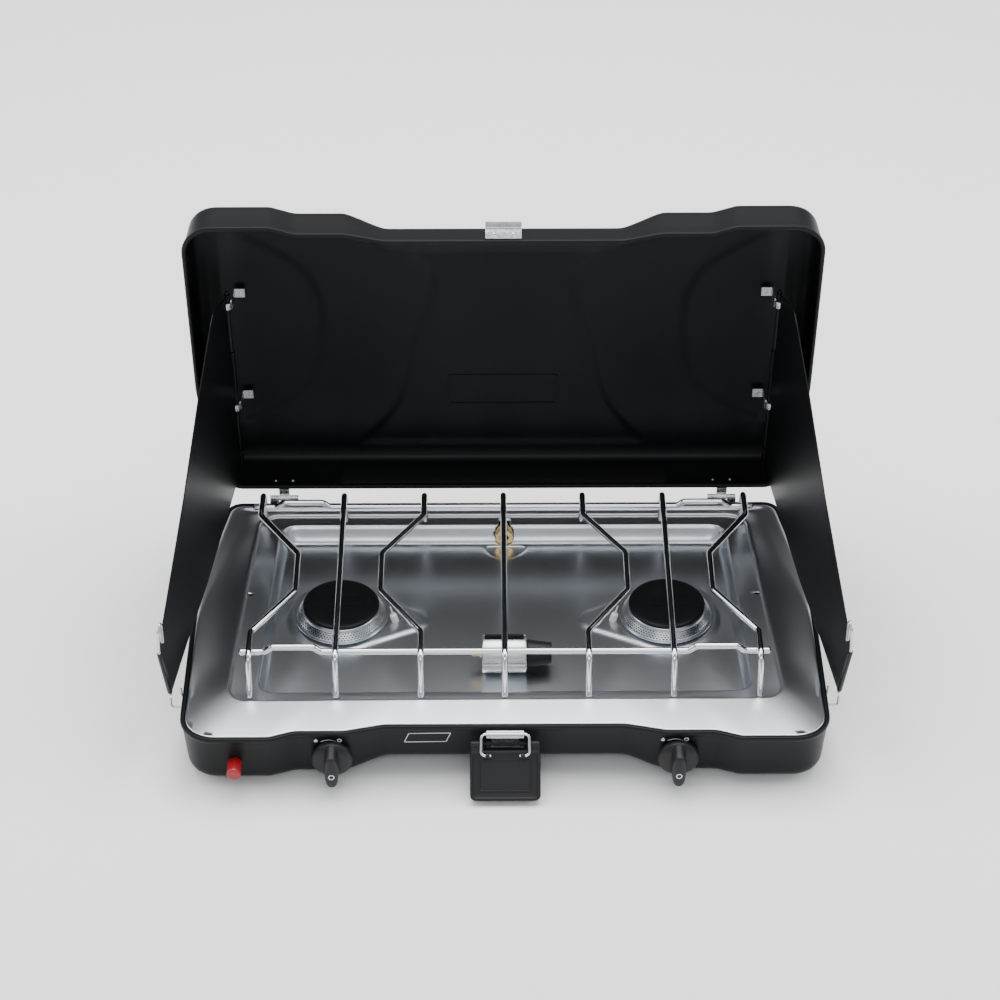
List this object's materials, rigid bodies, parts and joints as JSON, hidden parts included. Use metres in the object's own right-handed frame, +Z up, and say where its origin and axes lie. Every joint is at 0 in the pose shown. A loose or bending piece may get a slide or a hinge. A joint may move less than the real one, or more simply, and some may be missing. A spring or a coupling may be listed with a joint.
{
  "type": "camp stove",
  "caption": "Tabletop gas camp stove: pressed tray with wire grate over round burners, black case, hinged lid propped open and swing-out wind wings",
  "frame": {"origin": "centre of the overall box on the table surface, under the feet", "axes": "+X to the stove's right as its user faces it, +Y to the back where the lid hinges, +Z up"},
  "size_m": [0.5822, 0.3862, 0.3879],
  "materials": {
    "black_paint": "satin black enamel",
    "brushed_stainless": "bright pressed stainless sheet",
    "chrome_wire": "polished plated wire",
    "zinc_steel": "bright zinc plate",
    "cast_aluminium": "turned, fine ribs",
    "brass": "machined",
    "black_plastic": "fine grain",
    "red_plastic": "gloss",
    "foot_rubber": "matte",
    "white_ceramic": "glazed ceramic insulator"
  },
  "bodies": {
    "base": {"base_hook_left": "zinc_steel", "base_hook_right": "zinc_steel", "base_shell": "black_paint", "burner_bowl_left": "brushed_stainless", "burner_bowl_right": "brushed_stainless", "burner_cap_left": "black_paint", "burner_cap_right": "black_paint", "burner_ring_left": "brushed_stainless", "burner_ring_right": "brushed_stainless", "burner_tube_left": "zinc_steel", "burner_tube_right": "zinc_steel", "cross_pipe": "zinc_steel", "electrode_left": "white_ceramic", "electrode_right": "white_ceramic", "foot_front_left": "foot_rubber", "foot_front_right": "foot_rubber", "foot_rear_left": "foot_rubber", "foot_rear_right": "foot_rubber", "hinge_base_left": "zinc_steel", "hinge_base_right": "zinc_steel", "inlet_fitting": "brass", "latch_bracket": "zinc_steel", "regulator_body": "cast_aluminium", "regulator_cap": "black_plastic", "regulator_nipple": "brass", "supply_pipe": "zinc_steel", "top_tray": "brushed_stainless", "valve_left": "brass", "valve_right": "brass"},
    "lid": {"lid_shell": "black_paint", "hinge_lid_left": "zinc_steel", "hinge_lid_right": "zinc_steel", "strike_plate": "zinc_steel", "wing_clip_left_1": "zinc_steel", "wing_clip_left_2": "zinc_steel", "wing_clip_right_1": "zinc_steel", "wing_clip_right_2": "zinc_steel"},
    "wing_left_rod": {"wing_rod_left": "zinc_steel"},
    "wing_right_rod": {"wing_rod_right": "zinc_steel"},
    "wing_left": {"wing_panel_left": "black_paint", "wing_pull_left": "zinc_steel"},
    "wing_right": {"wing_panel_right": "black_paint", "wing_pull_right": "zinc_steel"},
    "grate": {"grate_bar_front": "chrome_wire", "grate_bar_rear": "chrome_wire", "grate_wire_1": "chrome_wire", "grate_wire_2": "chrome_wire", "grate_wire_3": "chrome_wire", "grate_wire_4": "chrome_wire", "grate_wire_5": "chrome_wire", "grate_wire_6": "chrome_wire", "grate_wire_7": "chrome_wire"},
    "latch_lever": {"latch_handle": "black_plastic"},
    "latch_wire": {"latch_bail": "chrome_wire"},
    "knob_turn_left": {"knob_left": "black_plastic", "valve_stem_left": "zinc_steel"},
    "knob_turn_right": {"knob_right": "black_plastic", "valve_stem_right": "zinc_steel"},
    "igniter": {"igniter_button": "red_plastic"}
  },
  "joints": [
    {"name": "lid_hinge", "type": "hinge", "parent": "base", "child": "lid", "pos_m": [0, 0.158, 0.0584], "axis": [-1, 0, 0], "range_deg": [0, 20]},
    {"name": "wing_left_lift", "type": "slide", "parent": "lid", "child": "wing_left_rod", "axis": [0, -0.1564, 0.9877], "range_m": [0, 0.045]},
    {"name": "wing_left_swing", "type": "hinge", "parent": "wing_left_rod", "child": "wing_left", "pos_m": [-0.242, 0.17695, 0.07143], "axis": [0, 0.1564, -0.9877], "range_deg": [0, 12]},
    {"name": "wing_right_lift", "type": "slide", "parent": "lid", "child": "wing_right_rod", "axis": [0, -0.1564, 0.9877], "range_m": [0, 0.045]},
    {"name": "wing_right_swing", "type": "hinge", "parent": "wing_right_rod", "child": "wing_right", "pos_m": [0.242, 0.17695, 0.07143], "axis": [0, -0.1564, 0.9877], "range_deg": [0, 12]},
    {"name": "grate_lift", "type": "slide", "parent": "base", "child": "grate", "axis": [0, 0, 1], "range_m": [0, 0.08]},
    {"name": "latch_swing", "type": "hinge", "parent": "base", "child": "latch_lever", "pos_m": [0, -0.1619, 0.042], "axis": [-1, 0, 0], "range_deg": [0, 100]},
    {"name": "latch_wire_swing", "type": "hinge", "parent": "latch_lever", "child": "latch_wire", "pos_m": [0, -0.17161, 0.03753], "axis": [-1, 0, 0], "range_deg": [-100, 0]},
    {"name": "knob_left_turn", "type": "hinge", "parent": "base", "child": "knob_turn_left", "pos_m": [-0.147, -0.1638, 0.0305], "axis": [0, -1, 0], "range_deg": [0, 270]},
    {"name": "knob_right_turn", "type": "hinge", "parent": "base", "child": "knob_turn_right", "pos_m": [0.147, -0.1638, 0.0305], "axis": [0, -1, 0], "range_deg": [0, 270]},
    {"name": "igniter_push", "type": "slide", "parent": "base", "child": "igniter", "axis": [0, 1, 0], "range_m": [0, 0.004], "stiffness_N_per_m": 400}
  ],
  "couplings": [
    {"joint": "latch_wire_swing", "follows": "latch_swing", "ratio": -1}
  ]
}
